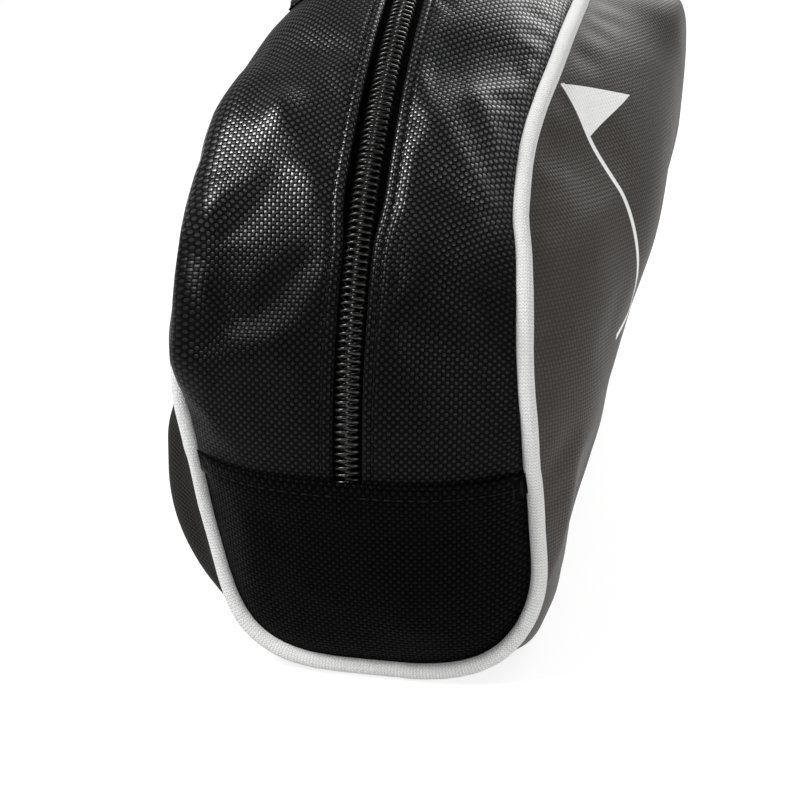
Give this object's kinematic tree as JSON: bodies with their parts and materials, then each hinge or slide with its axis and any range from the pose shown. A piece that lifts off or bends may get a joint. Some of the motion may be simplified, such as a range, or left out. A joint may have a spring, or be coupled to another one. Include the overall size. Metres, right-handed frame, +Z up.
{
  "type": "golf shoe bag",
  "caption": "Padded soft bag for a pair of golf shoes, with a white-piped strip over the top that carries a coil zip, two sliders and a carry handle.",
  "frame": {"origin": "centre of the footprint on the floor, under the middle of the body", "axes": "+Z up, +Y along the bag's length to its rear end, +X to the right of the front end"},
  "size_m": [0.166, 0.34, 0.2408],
  "materials": {
    "shell_fabric": "coarse black basket weave, satin yarns",
    "strip_fabric": "coarse black basket weave, satin yarns",
    "padding_foam": "matte open-cell foam",
    "lining_cloth": "matte knitted lining",
    "binding_tape": "matte woven tape",
    "piping_cloth": "white knitted tube",
    "piping_cord": "twisted filler cord",
    "zip_tape": "woven polyester tape",
    "zip_coil": "glossy nylon coil",
    "slider_metal": "black enamelled zinc",
    "pull_rubber": "soft moulded rubber",
    "webbing": "ribbed polypropylene webbing",
    "sleeve_fabric": "padded woven sleeve"
  },
  "bodies": {
    "bag": {"side_panel_right": "shell_fabric", "side_panel_left": "shell_fabric", "side_foam_right": "padding_foam", "side_foam_left": "padding_foam", "side_lining_right": "lining_cloth", "side_lining_left": "lining_cloth", "base_panel": "shell_fabric", "base_foam": "padding_foam", "base_lining": "lining_cloth", "end_panel_front": "shell_fabric", "end_panel_rear": "shell_fabric", "end_lining_front": "lining_cloth", "end_lining_rear": "lining_cloth", "zip_gusset_right": "strip_fabric", "zip_gusset_left": "strip_fabric", "seam_binding_right": "binding_tape", "seam_binding_left": "binding_tape", "end_binding_front": "binding_tape", "end_binding_rear": "binding_tape", "piping_cover": "piping_cloth", "piping_cord": "piping_cord", "zip_tape_right": "zip_tape", "zip_tape_left": "zip_tape", "zip_coil_right": "zip_coil", "zip_coil_left": "zip_coil", "handle_webbing": "webbing", "handle_sleeve": "sleeve_fabric", "handle_patch_front": "webbing", "handle_patch_rear": "webbing"},
    "front_slider": {"front_slider_body": "slider_metal", "front_slider_bridge": "slider_metal"},
    "front_puller": {"front_pull_tab": "slider_metal", "front_pull_grip": "pull_rubber"},
    "rear_slider": {"rear_slider_body": "slider_metal", "rear_slider_bridge": "slider_metal"},
    "rear_puller": {"rear_pull_tab": "slider_metal", "rear_pull_grip": "pull_rubber"}
  },
  "joints": [
    {"name": "front_slider_travel", "type": "hinge", "parent": "bag", "child": "front_slider", "pos_m": [0, 0, 0.011], "axis": [1, 0, 0], "range_deg": [0, 42]},
    {"name": "front_tab_hinge", "type": "hinge", "parent": "front_slider", "child": "front_puller", "pos_m": [0, -0.0071, 0.20762], "axis": [-1, 0, 0], "range_deg": [0, 100]},
    {"name": "rear_slider_travel", "type": "hinge", "parent": "bag", "child": "rear_slider", "pos_m": [0, 0, 0.011], "axis": [-1, 0, 0], "range_deg": [0, 42]},
    {"name": "rear_tab_hinge", "type": "hinge", "parent": "rear_slider", "child": "rear_puller", "pos_m": [0, 0.0071, 0.20762], "axis": [1, 0, 0], "range_deg": [0, 100]}
  ]
}
